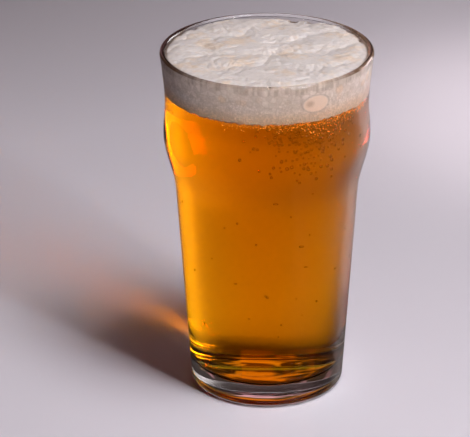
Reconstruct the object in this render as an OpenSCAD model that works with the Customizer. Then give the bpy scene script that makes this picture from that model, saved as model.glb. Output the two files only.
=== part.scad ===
// A pint of beer: a tall glass with a bulge under its rim, the beer in it and
// the head of foam on top. Millimetres, +Z up, origin at the centre of the base.

/* [Glass] */
// Height from the table to the top of the lip
glass_h = 152; // [140:1:185]
// Outer radius just under the lip
lip_r = 44.75; // [40:0.05:54]
// Distance of the waist below the top of the lip
waist_drop = 23.5; // [19:0.5:26]
// Outer radius of the waist
waist_r = 42.9; // [38:0.1:50]
// Distance of the bulge's widest ring below the top of the lip
bulge_drop = 36.5; // [31:0.5:44]
// Outer radius of the bulge
bulge_r = 43.7; // [39:0.1:52]
// Distance below the top of the lip where the bulge ends in the straight side
shoulder_drop = 61; // [52:0.5:73]
// Outer radius at the top of the straight side
shoulder_r = 38.8; // [34:0.1:46]
// Outer radius at the bottom of the straight side
foot_r = 33.1; // [28:0.1:38]
// Rounding radius of the foot's outer edge
foot_edge = 2.6; // [1:0.1:4]
// Wall thickness from the lip down to the bulge
wall = 2.5; // [1.8:0.1:3.2]
// Wall thickness at the floor
wall_low = 3.2; // [2.4:0.1:4.5]
// Thickness of the glass floor in its middle
floor_t = 8.8; // [5:0.1:13]
// Rounding radius between the floor and the wall inside
floor_edge = 6; // [3:0.5:9]
// Radius of the shallow hollow under the foot
recess_r = 24; // [15:0.5:26]
// Depth of the shallow hollow under the foot
recess_d = 1.4; // [0.5:0.1:3]

/* [Beer] */
// Distance of the beer's surface below the top of the lip
beer_drop = 16.8; // [12:0.1:40]

/* [Head] */
// Distance of the head's lowest rim below the top of the lip
head_drop = 3.2; // [2.4:0.1:8]
// Height of the folds over that rim
fold_h = 3; // [1:0.1:5]
// Rise of the head's middle over its edge
head_crown = 0.2; // [0:0.1:3]
// Gap left between the head and the wall
head_gap = 0.04; // [0.02:0.01:0.2]

/* [Hidden] */

// Heights of the named rings
waist_z = glass_h - waist_drop;
bulge_z = glass_h - bulge_drop;
shoulder_z = glass_h - shoulder_drop;
lip_z = glass_h - wall / 2;
beer_z = glass_h - beer_drop;
head_z = glass_h - head_drop;

// Slopes of the outer side, as radius gained for each millimetre of height
side_slope = (shoulder_r - foot_r) / (shoulder_z - foot_edge);
rim_slope = 0.11;

// Spacing of the rings along the profile, and sides of the round faces
ring_step = 2;
arc_steps = 10;
round_fn = 180;

// Sectors and rings of the head, and its folds: each is
// [x, y, half length, half width, turn, height], as shares of the head's radius
// and of fold_h, with the turn in degrees
head_sectors = 108;
head_rings = 19;
head_wall_rings = 7;
FOLDS = [
    [0.00, -0.72, 0.95, 0.34, 2, 0.92],
    [0.38, -0.30, 0.42, 0.24, -6, 1.00],
    [-0.40, -0.30, 0.50, 0.26, 12, 0.84],
    [-0.24, 0.15, 0.46, 0.28, -8, 0.96],
    [0.24, 0.12, 0.34, 0.22, 20, 0.72],
    [0.60, 0.26, 0.34, 0.26, 38, 0.94],
    [0.16, 0.52, 0.42, 0.24, -4, 0.98],
    [-0.28, 0.70, 0.46, 0.26, 10, 0.90],
    [-0.78, 0.08, 0.30, 0.36, 12, 0.76],
    [-0.66, 0.44, 0.32, 0.26, 42, 0.66],
    [0.62, 0.66, 0.34, 0.26, -38, 0.72],
    [0.84, -0.10, 0.26, 0.40, -8, 0.80],
    [-0.72, -0.50, 0.32, 0.26, -40, 0.78],
    [0.66, -0.56, 0.36, 0.26, 42, 0.86]
];

// Cubic blend from r0 to r1 between heights z0 and z1, with the slopes s0 and s1
function blend(z, z0, z1, r0, r1, s0, s1) =
    let (w = z1 - z0, t = (z - z0) / w, u = 1 - t)
    r0 * u * u * (1 + 2 * t) + r1 * t * t * (3 - 2 * t)
    + s0 * w * t * u * u - s1 * w * t * t * u;

// Outer radius of the side at a height
function side_r(z) =
    z <= shoulder_z ? shoulder_r + side_slope * (z - shoulder_z)
    : z <= bulge_z ? blend(z, shoulder_z, bulge_z, shoulder_r, bulge_r, side_slope, 0)
    : z <= waist_z ? blend(z, bulge_z, waist_z, bulge_r, waist_r, 0, 0)
    : blend(z, waist_z, lip_z, waist_r, lip_r, 0, rim_slope);

// Thickness of the side wall at a height
function wall_at(z) =
    z >= shoulder_z ? wall
    : wall_low + (wall - wall_low) * max(0, z - floor_t) / (shoulder_z - floor_t);

// Drop of a rounded inner corner's height into the radius
function corner(z) =
    let (d = max(0, floor_edge - (z - floor_t)))
    floor_edge - sqrt(max(0, floor_edge * floor_edge - d * d));

// Inner radius at a height above the floor
function inner_r(z) = side_r(z) - wall_at(z) - corner(z);

// Heights from z0 to z1 in equal steps of about ring_step
function heights(z0, z1) =
    let (n = max(1, ceil((z1 - z0) / ring_step)))
    [for (i = [0:n]) z0 + (z1 - z0) * i / n];

// Points of the rounded inner corner, closer together where it turns faster
corner_z = [for (i = [0:arc_steps]) floor_t + floor_edge * (1 - cos(90 * i / arc_steps))];
inner_low = concat(corner_z, [for (z = heights(floor_t + floor_edge, beer_z)) if (z > floor_t + floor_edge) z]);
inner_high = [for (z = heights(beer_z, lip_z)) if (z > beer_z) z];

module glass() {
    foot_line = [for (i = [0:arc_steps])
        let (a = 90 * i / arc_steps)
        [side_r(foot_edge) - foot_edge * (1 - sin(a)), foot_edge * (1 - cos(a))]];
    outer_line = [for (z = heights(foot_edge, lip_z)) if (z > foot_edge) [side_r(z), z]];
    lip_mid = side_r(lip_z) - wall / 2;
    lip_line = [for (i = [1:2 * arc_steps - 1])
        let (a = 90 * i / arc_steps)
        [lip_mid + wall / 2 * cos(a), lip_z + wall / 2 * sin(a)]];
    inner_line = [for (z = concat(inner_low, inner_high)) [inner_r(z), z]];
    inner_down = [for (i = [len(inner_line) - 1:-1:0]) inner_line[i]];
    recess_line = [for (i = [0:arc_steps])
        let (a = 90 * i / arc_steps)
        [recess_r * sin(a), recess_d * cos(a)]];
    color([0.86, 0.90, 0.90, 0.35])
        rotate_extrude($fn = round_fn)
            polygon(concat(recess_line, foot_line, outer_line, lip_line, inner_down, [[0, floor_t]]));
}

module beer() {
    beer_line = [for (z = inner_low) [inner_r(z), z]];
    color([0.80, 0.42, 0.05, 0.8])
        rotate_extrude($fn = round_fn)
            polygon(concat([[0, floor_t]], beer_line, [[0, beer_z]]));
}

// Height of one fold of foam at a place, below 0 outside it
function fold_at(x, y, f) =
    let (dx = x - f[0], dy = y - f[1],
         u = (dx * cos(f[4]) + dy * sin(f[4])) / f[2],
         v = (dy * cos(f[4]) - dx * sin(f[4])) / f[3])
    f[5] * (1 - 0.5 * (u * u + v * v));

// Height of the head's surface at a place given as shares of its radius
function head_at(x, y) =
    let (rise = max([for (f = FOLDS) fold_at(x, y, f)]),
         crown = head_crown * (1 - x * x - y * y))
    min(lip_z + wall / 2, head_z + crown + fold_h * max(0, rise));

// Outer radius of the head at a height
function head_r(z) = inner_r(z) - head_gap;

module head() {
    n = head_sectors;
    m = head_rings;
    w = head_wall_rings;
    // Surface: the middle point, then the rings out to the wall
    top = concat([[0, 0, head_at(0, 0)]], [for (k = [1:m], j = [0:n - 1])
        let (s = k / m, a = 360 * j / n, z = head_at(s * cos(a), s * sin(a)), r = s * head_r(z))
        [r * cos(a), r * sin(a), z]]);
    // Side: rings down the wall from the surface to the beer
    side = [for (k = [1:w], j = [0:n - 1])
        let (a = 360 * j / n, z0 = head_at(cos(a), sin(a)), z = z0 + (beer_z - z0) * k / w)
        [head_r(z) * cos(a), head_r(z) * sin(a), z]];
    points = concat(top, side, [[0, 0, beer_z]]);
    last = len(points) - 1;
    fan = [for (j = [0:n - 1]) [0, 1 + (j + 1) % n, 1 + j]];
    skin = [for (k = [0:m + w - 2], j = [0:n - 1])
        let (a = 1 + k * n + j, b = 1 + k * n + (j + 1) % n)
        each [[a, b, b + n], [a, b + n, a + n]]];
    under = [for (j = [0:n - 1]) [last - n + j, last - n + (j + 1) % n, last]];
    color([0.96, 0.93, 0.87])
        polyhedron(points = points, faces = concat(fan, skin, under));
}

glass();
beer();
head();
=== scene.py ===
"""Looks for a pint of beer: the glass, the beer with its bubbles, and the folded head of foam."""

import math

import bpy
import numpy as np
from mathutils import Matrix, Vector, noise
from mathutils.bvhtree import BVHTree


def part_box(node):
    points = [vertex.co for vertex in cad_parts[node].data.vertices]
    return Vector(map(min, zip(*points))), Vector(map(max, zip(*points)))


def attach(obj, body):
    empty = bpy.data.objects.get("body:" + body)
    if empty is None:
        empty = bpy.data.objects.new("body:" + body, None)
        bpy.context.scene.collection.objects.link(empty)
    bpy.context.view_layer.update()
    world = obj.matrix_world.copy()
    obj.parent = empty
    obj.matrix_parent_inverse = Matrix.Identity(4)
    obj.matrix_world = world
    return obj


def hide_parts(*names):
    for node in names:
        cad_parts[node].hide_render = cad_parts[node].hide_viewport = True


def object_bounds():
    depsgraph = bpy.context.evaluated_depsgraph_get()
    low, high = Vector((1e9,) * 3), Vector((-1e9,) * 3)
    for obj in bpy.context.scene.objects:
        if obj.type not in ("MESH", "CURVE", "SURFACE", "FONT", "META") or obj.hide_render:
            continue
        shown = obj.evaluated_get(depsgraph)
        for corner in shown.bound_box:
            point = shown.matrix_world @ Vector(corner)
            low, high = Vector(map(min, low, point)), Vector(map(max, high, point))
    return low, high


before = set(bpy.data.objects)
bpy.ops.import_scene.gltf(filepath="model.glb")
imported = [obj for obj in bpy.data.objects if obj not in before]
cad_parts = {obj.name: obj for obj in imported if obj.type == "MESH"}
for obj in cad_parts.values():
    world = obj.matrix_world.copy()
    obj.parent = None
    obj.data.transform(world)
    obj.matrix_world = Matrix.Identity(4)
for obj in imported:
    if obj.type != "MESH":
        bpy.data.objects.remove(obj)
cad_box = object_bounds()

MM = 0.001
BODY = "root"

# The camera's place and lens, in metres, degrees and mm
CAMERA_BACK = 1.0
CAMERA_UP = 0.5293
CAMERA_TILT = 24.462
CAMERA_SHIFT_X = -0.0679
LENS_MM = 196.2613
SENSOR_MM = 36.0

# How far the pieces inside the glass reach into its wall
BEER_REACH = 0.10 * MM
HEAD_REACH = 0.18 * MM
# How far the head's underside reaches into the beer
HEAD_SINK = 0.5 * MM

# The glass: points round it, and what counts as a corner of its outline
LATHE_SIDES = 240
CORNER_DEGREES = 30
# The lip's own glass is above these heights, outside only where it slopes up this much
LIP_Z = 150.3 * MM
LIP_INSIDE_Z = 147.5 * MM
LIP_SLOPE = 0.35

CLEAR = (0.985, 0.985, 0.985)
# The lip's glass: a little painted shade all round, and dark painted shade at its far left and right
LIP_COLOUR = (0.90, 0.86, 0.83)
LIP_SHADE_PAINT = (0.14, 0.075, 0.04)

# What the beer takes off each metre of light: BEER_DENSITY times 1 less the colour
BEER_DENSITY = 150.0
BEER_COLOUR = (0.9933, 0.869, 0.0)

WHITE = (1.0, 1.0, 1.0)
BLACK = (0.0, 0.0, 0.0)

# The foam's colours: its top, its side against the wall, and the thin lines of its bubbles
# The top's colours are darker than the side's, as painted shade against the stronger light on the top
FOAM_PALE = np.array([0.555, 0.505, 0.49])
# painted shade in the creases of the top
FOAM_CREASE_SHADE = np.array([0.48, 0.40, 0.355])
FOAM_BEIGE = np.array([0.60, 0.475, 0.38])
# painted shade: the top's far left and right edges, the gaps by the rim, and the upper side at the
# far left and right
FOAM_SHADE_PAINT = np.array([0.10, 0.05, 0.025])
FOAM_WALL = np.array([0.80, 0.72, 0.68])
FOAM_WALL_BEIGE = np.array([0.88, 0.70, 0.57])
# painted amber light from the beer below, on the side near the beer
FOAM_BEER_LIGHT = np.array([0.78, 0.50, 0.28])
FOAM_EDGE = np.array([0.40, 0.33, 0.28])
FOAM_STREAK = np.array([0.42, 0.35, 0.30])
FOAM_SPOT = np.array([0.42, 0.27, 0.17])
FOAM_LINE = (0.48, 0.38, 0.31)

# The foam's bubbles as its material draws them: their size, and how thick their outline is
COARSE_CELLS = (2.6 * MM, 0.10)
FINE_CELLS = (0.95 * MM, 0.14)

# The head's mesh: points round it, rings over its top and rings down its side
HEAD_SIDES = 720
HEAD_RINGS = 90
HEAD_WALL_RINGS = 34
# How deep the grooves between the bubbles on its side are
GROOVE_DEPTH = 0.12 * MM
# About how far the foam stays under the top of the CAD's head
TOP_LIMIT = 0.15 * MM
TOP_SOFTNESS = 0.1 * MM

# Folds and lumps of the foam's top: size, height and seed
FOLDS = ((12 * MM, 0.6 * MM, 3), (6 * MM, 0.22 * MM, 4))
LUMPS = ((5.2 * MM, 0.60 * MM, 5), (2.7 * MM, 0.36 * MM, 6), (1.4 * MM, 0.16 * MM, 7))

# Where the foam has come off the wall: middle and half width in degrees round the rim
FOAM_GAPS = ((74, 3.5), (62, 4.0), (125, 1.5), (138, 2.5), (151, 1.5), (35, 1.2), (20, 1.4))
GAP_DEPTH = 0.8 * MM
GAP_REACH_PER_DEGREE = 1.05 * MM

# The foam's bubbles on the wall: how many, smallest and largest radius in mm, and from where to
# where on the side; large and middling ones in the upper half, small ones below, fine ones lowest
WALL_KINDS = (
    (16, 1.9, 2.6, 0.5, 0.75),
    (60, 1.1, 1.8, 0.4, 0.8),
    (600, 0.55, 1.0, 0.1, 0.95),
    (3200, 0.3, 0.55, -0.03, 0.9),
)
# How far along the wall from each place they are looked for
WALL_SEARCH = 7 * MM

# The largest bubble on the wall: its turn in degrees, height, half width and half height
OVAL_TURN = -62.0
OVAL_Z = 142.6 * MM
OVAL_HALF_W = 6.0 * MM
OVAL_HALF_H = 3.9 * MM
OVAL_FROM_AXIS = 41.8 * MM

# How far the bubbles in the beer stay off the wall
BUBBLE_CLEARANCE = 0.05 * MM

# The backdrop as the camera sees it, and the room's colours and where in it they are
BACKDROP = (0.46, 0.44, 0.49)
ROOM_DARK = (0.040, 0.021, 0.012)
ROOM_BRIGHT = (0.060, 0.058, 0.065)
ROOM_BRIGHT_SIDE = (0.95, -0.30, 0.05)
ROOM_WALL = (0.80, 0.38, 0.42)
ROOM_WALL_SIDE = (0.0, 0.90, 0.44)

# The table: its tones, its colour and brighter side in reflections, and the middle of a painted shade
# that darkens it towards its far left
TABLE_TONES = ((0.69, 0.655, 0.725), (0.72, 0.685, 0.755))
TABLE_REFLECTED = (0.03, 0.015, 0.008)
TABLE_BRIGHT_SIDE = (0.8, 0.6, 0.0)
TABLE_SHADE_CENTRE = (-0.25, 0.60, 0.0)


# ---------------------------------------------------------------- small helpers


def smoothstep(low, high, x):
    t = np.clip((x - low) / (high - low), 0.0, 1.0)
    return t * t * (3 - 2 * t)


def blend_colours(a, b, share):
    return a + (b - a) * share[..., None]


def degrees_apart(turn, middle):
    """Degrees from the middle to each turn, the short way round, below 0 on one side."""
    return (turn - middle + 180) % 360 - 180


def new_object(name, verts, faces, material, smooth=True):
    mesh = bpy.data.meshes.new(name)
    mesh.from_pydata([tuple(v) for v in verts], [], faces)
    mesh.validate()
    if smooth:
        mesh.polygons.foreach_set("use_smooth", [True] * len(mesh.polygons))
    mesh.update()
    mesh.materials.append(material)
    obj = bpy.data.objects.new(name, mesh)
    bpy.context.scene.collection.objects.link(obj)
    return obj


def closed_faces(rings, sides):
    """Faces of a closed surface: a point on top, rings of points going down, and a point below."""
    last = 1 + rings * sides
    low = last - sides
    faces = [(0, 1 + i, 1 + (i + 1) % sides) for i in range(sides)]
    for k in range(rings - 1):
        a = 1 + k * sides
        for i in range(sides):
            j = (i + 1) % sides
            faces.append((a + i, a + sides + i, a + sides + j, a + j))
    faces += [(low + i, last, low + (i + 1) % sides) for i in range(sides)]
    return faces


def lathe(name, profile, sides, material):
    """A closed turned solid from a profile that starts and ends on the axis."""
    turns = [2 * math.pi * i / sides for i in range(sides)]
    rings = profile[1:-1]
    verts = [(0, 0, profile[0][1])]
    for r, z in rings:
        verts += [(r * math.cos(a), r * math.sin(a), z) for a in turns]
    verts.append((0, 0, profile[-1][1]))
    # its rings go up the outside, so every face is turned over
    faces = [(face[0], *face[:0:-1]) for face in closed_faces(len(rings), sides)]
    return new_object(name, verts, faces, material)


def noise_at(x, y, z, seed):
    """Smooth noise at a place, far off from where another seed looks for it."""
    return noise.noise(Vector((x + 17.3 * seed, y - 9.1 * seed, z + 4.7 * seed)))


def noise_field(points, scale, seed):
    """Smooth noise, about -1 to 1, at each row of points, which are in metres."""
    s = 1 / scale
    return np.array([noise_at(p[0] * s, p[1] * s, p[2] * s, seed) for p in points])


def flat_points(x, y):
    """A row for each place, at height 0."""
    return np.stack([x.ravel(), y.ravel(), np.zeros(x.size)], 1)


def flat_noise(x, y, scale, seed):
    """Smooth noise at each place of a grid."""
    return noise_field(flat_points(x, y), scale, seed).reshape(x.shape)


def cell_number(cx, cy, step_x, step_y, seed):
    """A number from 0 to 1 that belongs to a cell of a grid."""
    return np.abs(np.sin(cx * step_x + cy * step_y + seed) * 43758.5453) % 1


def cell_field(u, v, size, seed, spread=0.85):
    """Distance to the nearest point of a jittered grid, in cells, and that point's own number."""
    gx, gy = np.floor(u / size), np.floor(v / size)
    best = np.full(u.shape, 9.0)
    ident = np.zeros(u.shape)
    for dx in (-1, 0, 1):
        for dy in (-1, 0, 1):
            cx, cy = gx + dx, gy + dy
            h1 = cell_number(cx, cy, 127.1, 311.7, seed * 7.7)
            h2 = cell_number(cx, cy, 269.5, 183.3, seed * 3.1)
            px = (cx + 0.5 + spread * (h1 - 0.5)) * size
            py = (cy + 0.5 + spread * (h2 - 0.5)) * size
            d = np.hypot(u - px, v - py) / size
            nearer = d < best
            ident = np.where(nearer, (h1 * 7.3 + h2 * 3.9) % 1, ident)
            best = np.where(nearer, d, best)
    return best, ident


# ---------------------------------------------------------------- shader nodes


class Nodes:
    """The nodes of a material or a world, made and joined by name."""

    def __init__(self, owner, output):
        owner.use_nodes = True
        self.tree = owner.node_tree
        self.tree.nodes.clear()
        self.out = self.add(output)

    def add(self, kind, **values):
        """A new node. Each value sets one of its settings or, with _ for a space, a socket."""
        node = self.tree.nodes.new(kind)
        for key, value in values.items():
            if hasattr(node, key):
                setattr(node, key, value)
            else:
                node.inputs[key.replace("_", " ")].default_value = value
        return node

    def join(self, source, target):
        self.tree.links.new(source, target)

    def put(self, value, socket):
        """Joins another node's output to a socket, or sets a number or a colour on it."""
        if hasattr(value, "is_linked"):
            self.join(value, socket)
        elif socket.type == "RGBA":
            socket.default_value = (*value, 1)
        else:
            socket.default_value = value

    def place(self):
        return self.add("ShaderNodeTexCoord").outputs["Object"]

    def axes(self, vector):
        node = self.add("ShaderNodeSeparateXYZ")
        self.join(vector, node.inputs["Vector"])
        return node.outputs

    def ramp(self, source, stops):
        """Two colours, each with its place on the ramp."""
        node = self.add("ShaderNodeValToRGB")
        for element, (place, colour) in zip(node.color_ramp.elements, stops):
            element.position = place
            element.color = (*colour, 1)
        self.join(source, node.inputs["Fac"])
        return node.outputs["Color"]

    def mix(self, factor, a, b, blend="MIX"):
        node = self.add("ShaderNodeMix", data_type="RGBA", blend_type=blend)
        for socket, value in ((0, factor), (6, a), (7, b)):
            self.put(value, node.inputs[socket])
        return node.outputs[2]

    def noise(self, scale, detail=3.0, roughness=0.5, distortion=0.0, vector=None):
        node = self.add("ShaderNodeTexNoise", Scale=scale, Detail=detail, Roughness=roughness,
                        Distortion=distortion)
        self.join(self.place() if vector is None else vector, node.inputs["Vector"])
        return node.outputs["Fac"]

    def cells(self, size, feature):
        """Foam cells about size metres wide: their distance to the edge, or their own colours."""
        node = self.add("ShaderNodeTexVoronoi", feature=feature, Scale=1 / size)
        self.join(self.place(), node.inputs["Vector"])
        return node.outputs["Distance" if feature == "DISTANCE_TO_EDGE" else "Color"]

    def remap(self, value, start, end):
        """Takes one range of numbers to another and stops at its ends."""
        node = self.add("ShaderNodeMapRange", From_Min=start[0], From_Max=start[1],
                        To_Min=end[0], To_Max=end[1])
        self.join(value, node.inputs["Value"])
        return node.outputs["Result"]

    def math(self, operation, a, b=0.0):
        node = self.add("ShaderNodeMath", operation=operation)
        self.put(a, node.inputs[0])
        self.put(b, node.inputs[1])
        return node.outputs[0]

    def measure(self, operation, vector, other):
        """A number from two vectors: their dot product, or the distance between them."""
        node = self.add("ShaderNodeVectorMath", operation=operation)
        self.join(vector, node.inputs[0])
        self.put(other, node.inputs[1])
        return node.outputs["Value"]

    def bump(self, height, strength, distance):
        node = self.add("ShaderNodeBump", Strength=strength, Distance=distance)
        self.join(height, node.inputs["Height"])
        return node.outputs["Normal"]


def new_material(name):
    material = bpy.data.materials.new(name)
    return material, Nodes(material, "ShaderNodeOutputMaterial")


# ---------------------------------------------------------------- materials


def add_clear_glass(n, reflection):
    """Clear glass with slow waves in it, which keeps that share of its reflection straight on."""
    shader = n.add("ShaderNodeBsdfPrincipled", IOR=1.5, Roughness=0.0, Transmission_Weight=1.0)
    n.put(CLEAR, shader.inputs["Base Color"])
    n.put((reflection, reflection, reflection), shader.inputs["Specular Tint"])
    waves = n.noise(scale=60.0, detail=1.0)
    n.join(n.bump(waves, strength=0.25, distance=0.06 * MM), shader.inputs["Normal"])
    n.join(shader.outputs["BSDF"], n.out.inputs["Surface"])
    return shader


def glass_material(name, reflection):
    material, n = new_material(name)
    add_clear_glass(n, reflection)
    return material


def lip_material():
    """The lip's glass, with a little painted shade all round and painted shade that turns it dark
    brown at its far left and right.
    """
    material, n = new_material("lip_glass")
    shader = add_clear_glass(n, reflection=0.2)
    from_middle = n.math("ABSOLUTE", n.axes(n.place())["X"])
    # painted shade, stronger towards the lip's far left and right
    sideways = n.remap(from_middle, (22 * MM, 36 * MM), (0.0, 1.0))
    n.join(n.mix(sideways, LIP_COLOUR, LIP_SHADE_PAINT), shader.inputs["Base Color"])
    return material


def beer_material():
    """Clear liquid without a reflection of its own, which turns amber with depth."""
    material, n = new_material("amber_beer")
    shader = n.add("ShaderNodeBsdfPrincipled", IOR=1.34, Roughness=0.0, Transmission_Weight=1.0)
    n.put(WHITE, shader.inputs["Base Color"])
    n.put(BLACK, shader.inputs["Specular Tint"])
    haze = n.noise(scale=90.0, detail=2.0)
    n.join(n.bump(haze, strength=0.05, distance=0.04 * MM), shader.inputs["Normal"])
    n.join(shader.outputs["BSDF"], n.out.inputs["Surface"])
    absorb = n.add("ShaderNodeVolumeAbsorption", Density=BEER_DENSITY)
    n.put(BEER_COLOUR, absorb.inputs["Color"])
    n.join(absorb.outputs["Volume"], n.out.inputs["Volume"])
    return material


def bubble_material():
    """Gas in the beer, which bends light the other way."""
    material, n = new_material("gas_bubble")
    shader = n.add("ShaderNodeBsdfGlass", IOR=0.79, Roughness=0.0)
    n.put(WHITE, shader.inputs["Color"])
    n.join(shader.outputs["BSDF"], n.out.inputs["Surface"])
    return material


def bright_bubble_material():
    """The finest bubbles, with a weak glow for the light that they gather."""
    material, n = new_material("bright_bubble")
    shader = n.add("ShaderNodeBsdfPrincipled", IOR=1.33, Roughness=0.2, Emission_Strength=0.45)
    n.put((0.9, 0.35, 0.05), shader.inputs["Base Color"])
    n.put((1.0, 0.36, 0.03), shader.inputs["Emission Color"])
    n.join(shader.outputs["BSDF"], n.out.inputs["Surface"])
    return material


def add_foam_cells(n, colour, height, cells, part):
    """Bubbles of one size: thin dark outlines, and each cell a little lighter or darker."""
    size, line = cells
    edge = n.cells(size, "DISTANCE_TO_EDGE")
    outlined = n.math("MULTIPLY", n.remap(edge, (0.0, line), (0.42, 0.0)), part)
    tone = n.ramp(n.cells(size, "F1"), [(0.2, (0.84, 0.82, 0.80)), (0.8, (1.06, 1.06, 1.06))])
    colour = n.mix(part, colour, n.mix(1.0, colour, tone, "MULTIPLY"))
    colour = n.mix(outlined, colour, FOAM_LINE)
    domed = n.math("MULTIPLY", n.remap(edge, (0.0, 0.3), (0.0, 1.5)), part)
    return colour, n.math("ADD", height, domed)


def foam_material():
    """Foam in the tints, painted shade and painted light stored on the mesh, with bubbles where the
    mesh says that they show.
    """
    material, n = new_material("beer_foam")
    shader = n.add("ShaderNodeBsdfPrincipled", IOR=1.33, Subsurface_Weight=0.35,
                   Subsurface_Scale=2 * MM)
    n.put((1.0, 0.8, 0.6), shader.inputs["Subsurface Radius"])
    tint = n.add("ShaderNodeVertexColor", layer_name="foam_tint_and_shade")
    kind = n.add("ShaderNodeVertexColor", layer_name="foam_kind")
    parts = n.add("ShaderNodeSeparateColor")
    n.join(kind.outputs["Color"], parts.inputs["Color"])
    grain = n.noise(scale=1500.0, detail=4.0, roughness=0.7)
    shade = n.ramp(grain, [(0.3, (0.93, 0.92, 0.91)), (0.7, WHITE)])
    colour = n.mix(1.0, tint.outputs["Color"], shade, "MULTIPLY")
    colour, height = add_foam_cells(n, colour, grain, COARSE_CELLS, parts.outputs["Red"])
    colour, height = add_foam_cells(n, colour, height, FINE_CELLS, parts.outputs["Green"])
    n.join(colour, shader.inputs["Base Color"])
    dullness = n.remap(n.noise(scale=700.0, detail=2.0), (0.0, 1.0), (0.35, 0.7))
    n.join(dullness, shader.inputs["Roughness"])
    n.join(n.bump(height, strength=0.35, distance=0.3 * MM), shader.inputs["Normal"])
    n.join(shader.outputs["BSDF"], n.out.inputs["Surface"])
    return material


def floor_material():
    """A pale table, darker where it is seen in a reflection, and with painted shade towards its far
    left.
    """
    material, n = new_material("table_top")
    shader = n.add("ShaderNodeBsdfPrincipled", Roughness=0.42, IOR=1.45)
    patches = n.noise(scale=3.0)
    top = n.ramp(patches, [(0.3, TABLE_TONES[0]), (0.7, TABLE_TONES[1])])
    path = n.add("ShaderNodeLightPath")
    bounced = n.math("GREATER_THAN", path.outputs["Glossy Depth"], 0.5)
    to_bright_side = n.measure("DOT_PRODUCT", n.place(), TABLE_BRIGHT_SIDE)
    dimmed = n.remap(to_bright_side, (0.06, 0.15), (0.88, 0.35))
    top = n.mix(n.math("MULTIPLY", bounced, dimmed), top, TABLE_REFLECTED)
    # painted shade, darkest near a place at the far left and back
    away = n.measure("DISTANCE", n.place(), TABLE_SHADE_CENTRE)
    top = n.mix(n.remap(away, (0.06, 0.36), (0.40, 0.0)), top, BLACK)
    n.join(top, shader.inputs["Base Color"])
    grain = n.noise(scale=900.0)
    n.join(n.bump(grain, strength=0.1, distance=0.2 * MM), shader.inputs["Normal"])
    n.join(shader.outputs["BSDF"], n.out.inputs["Surface"])
    return material


# ---------------------------------------------------------------- the glass's own outline


def seam_chain(node):
    """The outline of a turned CAD node, read along its seam at +X, as (radius, height) in order."""
    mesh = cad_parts[node].data
    co = np.array([v.co for v in mesh.vertices])
    on_seam = (np.abs(co[:, 1]) < 2e-6) & (co[:, 0] > -1e-6)
    key = {i: (round(float(co[i, 0]), 6), round(float(co[i, 2]), 6)) for i in np.flatnonzero(on_seam)}
    links = {}
    for edge in mesh.edges:
        a, b = edge.vertices
        if a in key and b in key and key[a] != key[b]:
            links.setdefault(key[a], set()).add(key[b])
            links.setdefault(key[b], set()).add(key[a])
    start = min(links)
    chain, seen = [start], {start}
    while True:
        here = chain[-1]
        ahead = [k for k in links[here] if k not in seen]
        if not ahead:
            return chain
        step = min(ahead, key=lambda k: math.dist(k, here))
        chain.append(step)
        seen.add(step)


outline = seam_chain("glass")
FLOOR_Z, BEER_Z = (corner.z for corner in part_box("beer"))
HEAD_TOP_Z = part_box("head")[1].z
top_index = max(range(len(outline)), key=lambda i: outline[i][1])
inner_points = sorted(((z, r) for r, z in outline[top_index:]), key=lambda p: p[0])
INNER_Z = np.array([p[0] for p in inner_points])
INNER_R = np.array([p[1] for p in inner_points])


def inner_r(z):
    """Radius of the glass's inside at a height."""
    return np.interp(z, INNER_Z, INNER_R)


def smooth_points(points, parts):
    """Catmull-Rom points through a polyline, with parts steps in each stretch."""
    p = np.array([points[0], *points, points[-1]], float)
    out = []
    for i in range(1, len(p) - 2):
        for k in range(parts):
            t = k / parts
            out.append(0.5 * ((2 * p[i]) + (p[i + 1] - p[i - 1]) * t
                              + (2 * p[i - 1] - 5 * p[i] + 4 * p[i + 1] - p[i + 2]) * t ** 2
                              + (3 * p[i] - p[i - 1] - 3 * p[i + 1] + p[i + 2]) * t ** 3))
    out.append(p[-1])
    return [tuple(q) for q in out]


def split_at_corners(points, degrees):
    """Cuts a polyline wherever it turns by more than so many degrees."""
    parts, part = [], [points[0]]
    for a, b, c in zip(points, points[1:], points[2:]):
        part.append(b)
        turn = math.atan2(c[1] - b[1], c[0] - b[0]) - math.atan2(b[1] - a[1], b[0] - a[0])
        turn = (turn + math.pi) % (2 * math.pi) - math.pi
        if abs(turn) > math.radians(degrees):
            parts.append(part)
            part = [b]
    part.append(points[-1])
    parts.append(part)
    return parts


# ---------------------------------------------------------------- glass and beer


def glass_part(face):
    """Which of the glass's materials a face has: 0 outside, 1 wet inside, 2 lip, 3 base."""
    c, normal = face.center, face.normal
    looks_in = c.x * normal.x + c.y * normal.y < 0
    inside = looks_in or (normal.z > 0.5 and c.z < FLOOR_Z + 10 * MM)
    if c.z < FLOOR_Z - 0.01 * MM:
        return 3
    if (c.z > LIP_Z and normal.z > LIP_SLOPE) or (inside and c.z > LIP_INSIDE_Z):
        return 2
    return 1 if inside and c.z < BEER_Z else 0


def make_glass(outside, wet, lip, base):
    profile = []
    for part in split_at_corners(outline, CORNER_DEGREES):
        profile += smooth_points(part, 2)[(1 if profile else 0):]
    profile.append((0.0, FLOOR_Z))
    # it stays inside the CAD's box, which is a little narrower one way
    widest = min(cad_box[1][0], cad_box[1][1])
    profile = [(min(r, widest), max(z, 0.0)) for r, z in profile]
    glass = lathe("glass_smooth", profile, LATHE_SIDES, outside)
    for material in (wet, lip, base):
        glass.data.materials.append(material)
    for face in glass.data.polygons:
        face.material_index = glass_part(face)
    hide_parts("glass")
    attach(glass, BODY)


def push_out(wall, reach):
    """A wall's points moved out square to it; the last one keeps its height."""
    out = []
    for i, (r, z) in enumerate(wall):
        a, b = wall[max(i - 1, 0)], wall[min(i + 1, len(wall) - 1)]
        dr, dz = b[0] - a[0], b[1] - a[1]
        length = math.hypot(dr, dz)
        drop = 0.0 if i == len(wall) - 1 else reach * dr / length
        out.append((r + reach * dz / length, z - drop))
    return out


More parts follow.
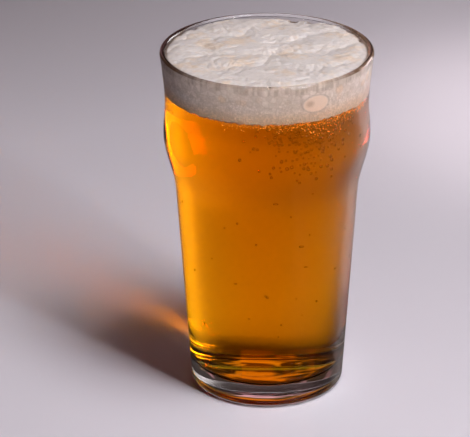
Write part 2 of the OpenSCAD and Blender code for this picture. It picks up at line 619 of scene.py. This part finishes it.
def make_beer(material):
    wall = [(r, z) for z, r in inner_points if z < BEER_Z - 0.001 * MM]
    wall.append((float(inner_r(BEER_Z)), BEER_Z))
    wall = smooth_points(wall, 2)
    bottom = FLOOR_Z - BEER_REACH
    profile = [(0.0, bottom), (wall[0][0] * 0.5, bottom)]
    profile += push_out(wall, BEER_REACH)
    profile += [(wall[-1][0] * 0.5, BEER_Z), (0.0, BEER_Z)]
    beer = lathe("beer_body", profile, LATHE_SIDES, material)
    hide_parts("beer")
    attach(beer, BODY)


# ---------------------------------------------------------------- the top of the foam


def cad_head_heights(x, y):
    """Height of the CAD head's surface under each place."""
    tree = BVHTree.FromObject(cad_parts["head"], bpy.context.evaluated_depsgraph_get())
    above = HEAD_TOP_Z + 10 * MM
    missed = HEAD_TOP_Z - 2 * MM
    out = np.empty(len(x))
    for i in range(len(x)):
        hit = tree.ray_cast(Vector((x[i], y[i], above)), Vector((0, 0, -1)))
        out[i] = missed if hit[0] is None else hit[0].z
    return out


def blur_polar(h, passes):
    """Softens a field on the head's polar grid, rings first."""
    for _ in range(passes):
        h = (h + np.roll(h, 1, 1) + np.roll(h, -1, 1)) / 3
        inner = np.vstack([h[:1], h[:-1]])
        outer = np.vstack([h[1:], h[-1:]])
        h = (h + inner + outer) / 3
    return h


def fine_folds(x, y):
    """Height of the folds and lumps that are finer than the CAD's."""
    # the pattern wanders by some mm, and is stretched a little along x
    warp_x = flat_noise(x, y, 14 * MM, seed=1) * 4 * MM
    warp_y = flat_noise(x, y, 14 * MM, seed=2) * 4 * MM
    u, v = (x + warp_x) * 0.85, y + warp_y
    fine = np.zeros(x.shape)
    for size, height, seed in FOLDS:
        fine += height * (np.abs(flat_noise(u, v, size, seed)) - 0.25)
    # a metre aside, where the numbers of all cells are above 0
    for size, height, seed in LUMPS:
        near, ident = cell_field(u + 1.0, v + 1.0, size, seed)
        fine += height * (0.4 + ident) * (0.5 - np.minimum(near, 1.0) ** 2)
    return fine


def rim_gaps(x, y):
    """Where the foam has come off the wall: 1 in a gap, 0 elsewhere and soft between."""
    from_axis = np.hypot(x, y)
    inward = from_axis[-1, 0] - from_axis
    turn = np.degrees(np.arctan2(y, x))
    gap = np.zeros(x.shape)
    for middle, half in FOAM_GAPS:
        here = smoothstep(half, 0.4 * half, np.abs(degrees_apart(turn, middle)))
        reach = GAP_REACH_PER_DEGREE * half
        gap = np.maximum(gap, here * smoothstep(reach, 0.35 * reach, inward))
    return gap


def foam_top(x, y):
    """The foam's surface on the polar grid: its height, the fine part of that, and its gaps."""
    # a little inward, and off the CAD's own edges, where a ray can slip through
    cast_x, cast_y = x.ravel() * 0.995 + 0.013 * MM, y.ravel() * 0.995 + 0.017 * MM
    base = blur_polar(cad_head_heights(cast_x, cast_y).reshape(x.shape), 3)
    fine = fine_folds(x, y)
    gap = rim_gaps(x, y)
    top = base + fine - GAP_DEPTH * gap
    limit = HEAD_TOP_Z - TOP_LIMIT + TOP_SOFTNESS * np.tanh((top - HEAD_TOP_Z) / MM)
    return np.minimum(top, limit), fine, gap


def foam_top_tint(x, y, fine, gap):
    """The top's colours, darker than the side's as painted shade: beige patches, mottle, and painted
    shade in the creases, at the far left and right edges and in the gaps.
    """
    wide = flat_noise(x, y, 11 * MM, seed=21)
    small = flat_noise(x, y, 2.6 * MM, seed=21)
    tint = blend_colours(FOAM_PALE, FOAM_BEIGE, 0.8 * smoothstep(0.0, 0.7, wide + 0.6 * small))
    mottle = flat_noise(x, y, 1.3 * MM, seed=22)
    tint = tint * (1 + 0.10 * mottle[..., None])
    # painted shade in the creases, where the fine folds dip
    tint = blend_colours(tint, FOAM_CREASE_SHADE, 0.5 * smoothstep(0.05 * MM, -0.35 * MM, fine))
    sideways = np.cos(np.arctan2(y, x)) ** 4
    edge = smoothstep(1.3 * MM, 0.5 * MM, np.hypot(x, y)[-1, 0] - np.hypot(x, y))
    # painted shade near the rim at the far left and right
    tint = blend_colours(tint, FOAM_SHADE_PAINT, 0.9 * edge * sideways)
    # painted shade in the gaps where the foam has come off the wall
    return blend_colours(tint, FOAM_SHADE_PAINT, 0.9 * np.sqrt(gap))


# ---------------------------------------------------------------- the side of the foam


def foam_side_heights(turn, x, y, edge):
    """Heights down the side, from the top's edge to a ragged fringe in the beer."""
    down = (np.arange(1, HEAD_WALL_RINGS + 1) / HEAD_WALL_RINGS)[:, None]
    # most ragged at the front, a little to the right
    facing = 0.25 + 0.75 * smoothstep(-0.5, 0.3, np.cos(turn + math.radians(55)))
    ragged = 0.5 * flat_noise(x, y, 3 * MM, seed=8) + 0.5 * flat_noise(x, y, 1 * MM, seed=9)
    fringe = facing * MM * ragged
    return edge + (BEER_Z - HEAD_SINK + fringe - edge) * down


def wall_bubbles(around):
    """The foam's bubbles pressed on the wall: (arc place, height, radius, tone), in metres."""
    rng = np.random.default_rng(5)
    out = []
    for count, small, large, start, end in WALL_KINDS:
        for _ in range(count):
            z = BEER_Z + (HEAD_TOP_Z - BEER_Z) * rng.uniform(start, end)
            out.append((rng.uniform(0, around), z, rng.uniform(small, large) * MM, rng.uniform(0, 1)))
    return np.array(out)


def wall_pattern(turn, z, radius):
    """Groove (0 in a bubble, 1 on its edge), tone and size of the bubble at each place."""
    around = 2 * math.pi * radius
    bubbles = wall_bubbles(around)
    groove, tone, size = np.zeros(z.shape), np.zeros(z.shape), np.zeros(z.shape)
    rows = np.arange(z.shape[0])
    for j in range(z.shape[1]):
        along = (bubbles[:, 0] - turn[j] * radius + around / 2) % around - around / 2
        close = np.abs(along) < WALL_SEARCH
        near, along = bubbles[close], along[close]
        # power distance: large bubbles take more room
        up = near[None, :, 1] - z[:, j][:, None]
        power = along[None, :] ** 2 + up ** 2 - near[None, :, 2] ** 2
        order = np.argsort(power, axis=1)[:, :2]
        first, second = power[rows, order[:, 0]], power[rows, order[:, 1]]
        size[:, j] = near[order[:, 0], 2]
        tone[:, j] = near[order[:, 0], 3]
        width = 1.1 * MM * (size[:, j] + 0.5 * MM)
        groove[:, j] = 1 - smoothstep(0.0, 1.0, (second - first) / width)
    return groove, tone, size


def oval_place(turn, z):
    """How far from the large bubble's middle, 1 on its edge, with the place across and up."""
    across = np.radians(degrees_apart(np.degrees(turn), OVAL_TURN)) * OVAL_FROM_AXIS
    across = np.broadcast_to(across, z.shape)
    up = z - OVAL_Z
    return np.hypot(across / OVAL_HALF_W, up / OVAL_HALF_H), across, up


def add_oval_bubble(tint, turn, z):
    """The large bubble: a beige middle, a darker outline and a soft brown shade."""
    far, across, up = oval_place(turn, z)
    tint = blend_colours(tint, FOAM_WALL_BEIGE, 0.7 * smoothstep(1.0, 0.8, far))
    tint = blend_colours(tint, FOAM_EDGE, 0.5 * smoothstep(0.10, 0.03, np.abs(far - 1)))
    shade = smoothstep(2.2 * MM, 0.4 * MM, np.hypot((across + 2.6 * MM) * 0.8, up - 0.2 * MM))
    return blend_colours(tint, FOAM_SPOT, 0.55 * shade)


def add_streaks(tint, turn, z):
    """Dark streaks under the rim, and painted shade that darkens the rim at the far left and right.
    """
    # places on a circle about as wide as the wall
    x, y = np.cos(turn) * 42 * MM, np.sin(turn) * 42 * MM
    below = z - z[0]
    waves = 0.5 + flat_noise(x, y, 1.3 * MM, seed=31) + 0.5 * flat_noise(x, y, 5 * MM, seed=32)
    streak = smoothstep(0.35, 0.65, waves)
    length = 1.1 * MM * (1.2 + flat_noise(x, y, 1.6 * MM, seed=33))
    high = smoothstep(-1.2 * MM - length, -0.9 * MM - length, below)
    tint = blend_colours(tint, FOAM_STREAK, 0.5 * high * streak)
    # painted shade at the top of the side, towards the far left and right
    painted_side_shade = np.cos(turn) ** 4 * smoothstep(-2.6 * MM, -1.0 * MM, below)
    return blend_colours(tint, FOAM_SHADE_PAINT, 0.35 * painted_side_shade)


def foam_side_tint(turn, z, groove, tone, size):
    """The side's colours: beige bubbles, painted amber light from the beer, grooves, streaks and
    painted shade at the far left and right.
    """
    wall = np.broadcast_to(FOAM_WALL, (*z.shape, 3))
    beige = smoothstep(0.4, 0.9, tone) * smoothstep(0.8 * MM, 2.0 * MM, size)
    tint = blend_colours(wall, FOAM_WALL_BEIGE, 0.8 * beige)
    # painted amber light from the beer, strongest next to it
    tint = blend_colours(tint, FOAM_BEER_LIGHT, 0.75 * smoothstep(7 * MM, 0.0, z - BEER_Z))
    tint = blend_colours(tint, FOAM_EDGE, 0.35 * groove * smoothstep(0.9 * MM, 1.6 * MM, size))
    tint = add_oval_bubble(tint, turn, z)
    return add_streaks(tint, turn, z)


def foam_kinds(x, y, z, turn):
    """How much the coarse and the fine cells show at each place, on the top and on the side."""
    patch = smoothstep(0.1, 0.5, flat_noise(x, y, 9 * MM, seed=41))
    top = np.stack([0 * x, 0.35 * patch, 0 * x], -1)
    share = (z - BEER_Z) / (HEAD_TOP_Z - BEER_Z)
    outside_oval = smoothstep(0.9, 1.05, oval_place(turn, z)[0])
    coarse = 0.8 * smoothstep(0.3, 0.55, share) * outside_oval
    fine = (0.9 * smoothstep(0.7, 0.35, share) + 0.25) * outside_oval
    return top, np.stack([coarse, fine, 0 * z], -1)


# ---------------------------------------------------------------- the head of foam


def head_mesh(turn, from_axis, top, side_r, side_z, material):
    """A middle point, rings over the top, rings down the side, and a point below."""
    verts = [(0, 0, float(top[0].mean()))]
    for k in range(HEAD_RINGS):
        r = np.minimum(from_axis[k], inner_r(top[k]) + HEAD_REACH)
        verts += list(zip(r * np.cos(turn), r * np.sin(turn), top[k]))
    for k in range(HEAD_WALL_RINGS):
        verts += list(zip(side_r[k] * np.cos(turn), side_r[k] * np.sin(turn), side_z[k]))
    verts.append((0, 0, BEER_Z - HEAD_SINK))
    faces = closed_faces(HEAD_RINGS + HEAD_WALL_RINGS, HEAD_SIDES)
    return new_object("head_foam", verts, faces, material)


def paint_head(head, layer, top, side):
    """Gives each of the head's points a colour: the middle, the top, the side and the last."""
    values = np.vstack([top[:1, 0], top.reshape(-1, 3), side.reshape(-1, 3), side[-1:, 0]])
    colour = head.data.color_attributes.new(layer, "FLOAT_COLOR", "POINT")
    colour.data.foreach_set("color", np.hstack([values, np.ones((len(values), 1))]).ravel())


def make_head(material):
    turn = np.arange(HEAD_SIDES) * 2 * math.pi / HEAD_SIDES
    share = (np.arange(1, HEAD_RINGS + 1) / HEAD_RINGS)[:, None]
    rim = float(inner_r(HEAD_TOP_Z - 1 * MM)) + HEAD_REACH
    x, y = rim * share * np.cos(turn), rim * share * np.sin(turn)
    top, fine, gap = foam_top(x, y)
    side_z = foam_side_heights(turn, x[-1], y[-1], top[-1])
    groove, tone, size = wall_pattern(turn, side_z, rim)
    side_r = inner_r(side_z) + HEAD_REACH - GROOVE_DEPTH * groove
    head = head_mesh(turn, np.hypot(x, y), top, side_r, side_z, material)
    tint_top = foam_top_tint(x, y, fine, gap)
    tint_side = foam_side_tint(turn, side_z, groove, tone, size)
    paint_head(head, "foam_tint_and_shade", tint_top, tint_side)
    kind_top, kind_side = foam_kinds(x, y, side_z, turn)
    paint_head(head, "foam_kind", kind_top, kind_side)
    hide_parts("head")
    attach(head, BODY)
    return head


# ---------------------------------------------------------------- bubbles on the wall in the beer
# Their turns are degrees round the wall: 0 at the right and -90 at the front.


def ball(radius, centre, rings=8, sides=12):
    """Points and faces of a small ball."""
    verts = [(0, 0, radius)]
    for k in range(1, rings):
        a = math.pi * k / rings
        for j in range(sides):
            b = 2 * math.pi * j / sides
            verts.append((radius * math.sin(a) * math.cos(b), radius * math.sin(a) * math.sin(b),
                          radius * math.cos(a)))
    verts.append((0, 0, -radius))
    verts = [(v[0] + centre[0], v[1] + centre[1], v[2] + centre[2]) for v in verts]
    return verts, closed_faces(rings - 1, sides)


def join_balls(name, places, material):
    """One mesh of small balls against the inside of the wall, at (turn, height, radius)."""
    verts, faces, kept = [], [], []
    for turn, z, radius in places:
        r = float(inner_r(z)) - radius - BUBBLE_CLEARANCE
        centre = np.array([r * math.cos(turn), r * math.sin(turn), z])
        if any(np.linalg.norm(centre - c) < radius + q for c, q in kept):
            continue
        kept.append((centre, radius))
        v, f = ball(radius, centre)
        faces += [tuple(i + len(verts) for i in face) for face in f]
        verts += v
    bubbles = new_object(name, verts, faces, material)
    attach(bubbles, BODY)


def make_bubbles(material):
    """A dense cluster at the upper right of the front, then a thin scatter all round."""
    rng = np.random.default_rng(12)
    places = []
    for _ in range(420):
        drop = abs(rng.normal(0, 9.5)) * MM + 1.0 * MM
        turn = math.radians(rng.normal(-64, 14))
        places.append((turn, BEER_Z - drop, rng.uniform(0.34, 0.72) * MM))
    for _ in range(60):
        places.append((rng.uniform(0, 2 * math.pi), rng.uniform(FLOOR_Z + 8 * MM, BEER_Z - 4 * MM),
                       rng.uniform(0.25, 0.55) * MM))
    join_balls("wall_bubbles", places, material)


def make_fine_bubbles(material):
    """The finest bubbles, in a band right under the foam and a few lower down at the right."""
    rng = np.random.default_rng(21)
    places = []
    for _ in range(420):
        turn = math.radians(rng.uniform(-118, -18))
        drop = 0.5 * MM + abs(rng.normal(0, 1.6)) * MM
        places.append((turn, BEER_Z - drop, rng.uniform(0.14, 0.30) * MM))
    for _ in range(60):
        turn = math.radians(rng.normal(-55, 10))
        places.append((turn, BEER_Z - rng.uniform(2, 9) * MM, rng.uniform(0.14, 0.30) * MM))
    join_balls("fine_bubbles", places, material)


# ---------------------------------------------------------------- floor, lights, room and camera


def make_floor():
    floor = new_object("floor", [(-4, -4, 0), (4, -4, 0), (4, 6, 0), (-4, 6, 0)], [(0, 1, 2, 3)],
                       floor_material(), smooth=False)
    # a hair under the foot
    floor.location.z = -0.2 * MM


def place_light(light, place, aim, watts, colour):
    light.energy = watts
    light.color = colour
    obj = bpy.data.objects.new(light.name, light)
    bpy.context.scene.collection.objects.link(obj)
    obj.location = place
    obj.rotation_euler = (Vector(aim) - Vector(place)).to_track_quat("-Z", "Y").to_euler()
    return obj


def area_light(name, place, aim, size, watts, colour):
    light = bpy.data.lights.new(name, "AREA")
    light.shape = "RECTANGLE"
    light.size, light.size_y = size
    return place_light(light, place, aim, watts, colour)


def make_windows():
    """In front at the right: two small lights that shine through the beer, and two that don't."""
    aim = (0, 0, 0.05)
    area_light("key", place=(0.55, -0.65, 0.50), aim=aim,
               size=(0.07, 0.40), watts=2.4, colour=(1.0, 0.93, 0.90))
    strip = area_light("strip", place=(0.62, -0.73, 0.36), aim=(0, 0, 0.06),
                       size=(0.13, 0.40), watts=62.0, colour=(1.0, 0.95, 0.80))
    strip.visible_diffuse = False
    strip.visible_glossy = False
    high = area_light("high_window", place=(0.54, -0.50, 0.95), aim=aim,
                      size=(0.32, 1.45), watts=11.0, colour=(0.96, 0.97, 1.0))
    fill = area_light("fill_window", place=(0.36, -0.24, 1.20), aim=aim,
                      size=(0.4, 0.4), watts=4.2, colour=(0.98, 0.98, 0.98))
    for light in (high, fill):
        light.visible_transmission = False


def make_back_window():
    """Behind at the right: a light that shows only as a gloss."""
    back = area_light("back_window", place=(0.83, 0.75, 0.45), aim=(0.1, 0.1, 0.0),
                      size=(0.6, 0.4), watts=11.0, colour=(1.0, 0.93, 0.96))
    back.visible_diffuse = False
    back.visible_transmission = False


def make_glow():
    """A soft pool of light on the table, behind the glass at the right."""
    light = bpy.data.lights.new("glow", "SPOT")
    light.spot_size = math.radians(38)
    light.spot_blend = 1.0
    light.shadow_soft_size = 0.05
    place_light(light, place=(0.17, 0.31, 0.50), aim=(0.17, 0.31, 0.0),
                watts=5.0, colour=(1.0, 0.90, 0.90))


def light_the_foam(head):
    """Two lights for the foam alone, as hardly any other light reaches its side through glass."""
    aim = (0, 0, 0.14)
    front = area_light("foam_window", place=(0.42, -0.92, 0.46), aim=aim,
                       size=(0.5, 0.4), watts=4.8, colour=(1.0, 0.95, 0.93))
    right = area_light("foam_right", place=(1.0, 0.20, 0.36), aim=aim,
                       size=(0.3, 0.4), watts=3.8, colour=(1.0, 0.94, 0.93))
    foam_only = bpy.data.collections.new("foam_only")
    foam_only.objects.link(head)
    for light in (front, right):
        light.light_linking.receiver_collection = foam_only
        light.light_linking.blocker_collection = foam_only


def room_colour(n, toward, path):
    """A dark room, brighter to the right, with pale patches beyond and the backdrop at eye level."""
    brightness = n.measure("DOT_PRODUCT", toward, ROOM_BRIGHT_SIDE)
    room = n.ramp(brightness, [(0.0, ROOM_DARK), (0.9, ROOM_BRIGHT)])
    beyond = n.remap(n.measure("DOT_PRODUCT", toward, ROOM_WALL_SIDE), (0.70, 0.95), (0.0, 1.0))
    spots = n.noise(scale=3.0, detail=2.0, distortion=0.6, vector=toward)
    patches = n.math("MULTIPLY", beyond, n.remap(spots, (0.50, 0.58), (0.0, 1.0)))
    with_patches = n.mix(patches, room, ROOM_WALL)
    colour = n.mix(path.outputs["Is Diffuse Ray"], with_patches, room)
    level = n.remap(n.axes(toward)["Z"], (0.10, 0.28), (1.0, 0.0))
    through = n.math("MULTIPLY", level, path.outputs["Is Transmission Ray"])
    return n.mix(through, colour, BACKDROP)


def make_world():
    """The plain backdrop for the camera, and the room for everything else."""
    world = bpy.data.worlds.new("studio")
    n = Nodes(world, "ShaderNodeOutputWorld")
    toward = n.add("ShaderNodeTexCoord").outputs["Generated"]
    path = n.add("ShaderNodeLightPath")
    seen = n.add("ShaderNodeBackground")
    n.put(BACKDROP, seen.inputs["Color"])
    room = n.add("ShaderNodeBackground")
    n.join(room_colour(n, toward, path), room.inputs["Color"])
    choose = n.add("ShaderNodeMixShader")
    n.join(path.outputs["Is Camera Ray"], choose.inputs[0])
    n.join(room.outputs[0], choose.inputs[1])
    n.join(seen.outputs[0], choose.inputs[2])
    n.join(choose.outputs[0], n.out.inputs["Surface"])
    bpy.context.scene.world = world


def make_camera():
    camera = bpy.data.cameras.new("camera")
    camera.sensor_width = SENSOR_MM
    camera.lens = LENS_MM
    camera.shift_x = CAMERA_SHIFT_X
    obj = bpy.data.objects.new("camera", camera)
    bpy.context.scene.collection.objects.link(obj)
    obj.location = (0, -CAMERA_BACK, CAMERA_UP)
    obj.rotation_euler = (math.radians(90 - CAMERA_TILT), 0, 0)
    bpy.context.scene.camera = obj


def set_picture():
    scene = bpy.context.scene
    scene.view_settings.view_transform = "Standard"
    scene.cycles.blur_glossy = 0.0
    scene.cycles.max_bounces = 16
    scene.cycles.transmission_bounces = 16
    scene.cycles.transparent_max_bounces = 16


make_camera()
make_floor()
set_picture()
make_glass(outside=glass_material("pint_glass", reflection=0.06),
           wet=glass_material("wet_glass", reflection=0.0),
           lip=lip_material(),
           base=glass_material("base_glass", reflection=1.0))
make_beer(beer_material())
head_foam = make_head(foam_material())
make_windows()
make_back_window()
make_glow()
light_the_foam(head_foam)
make_world()
make_bubbles(bubble_material())
make_fine_bubbles(bright_bubble_material())
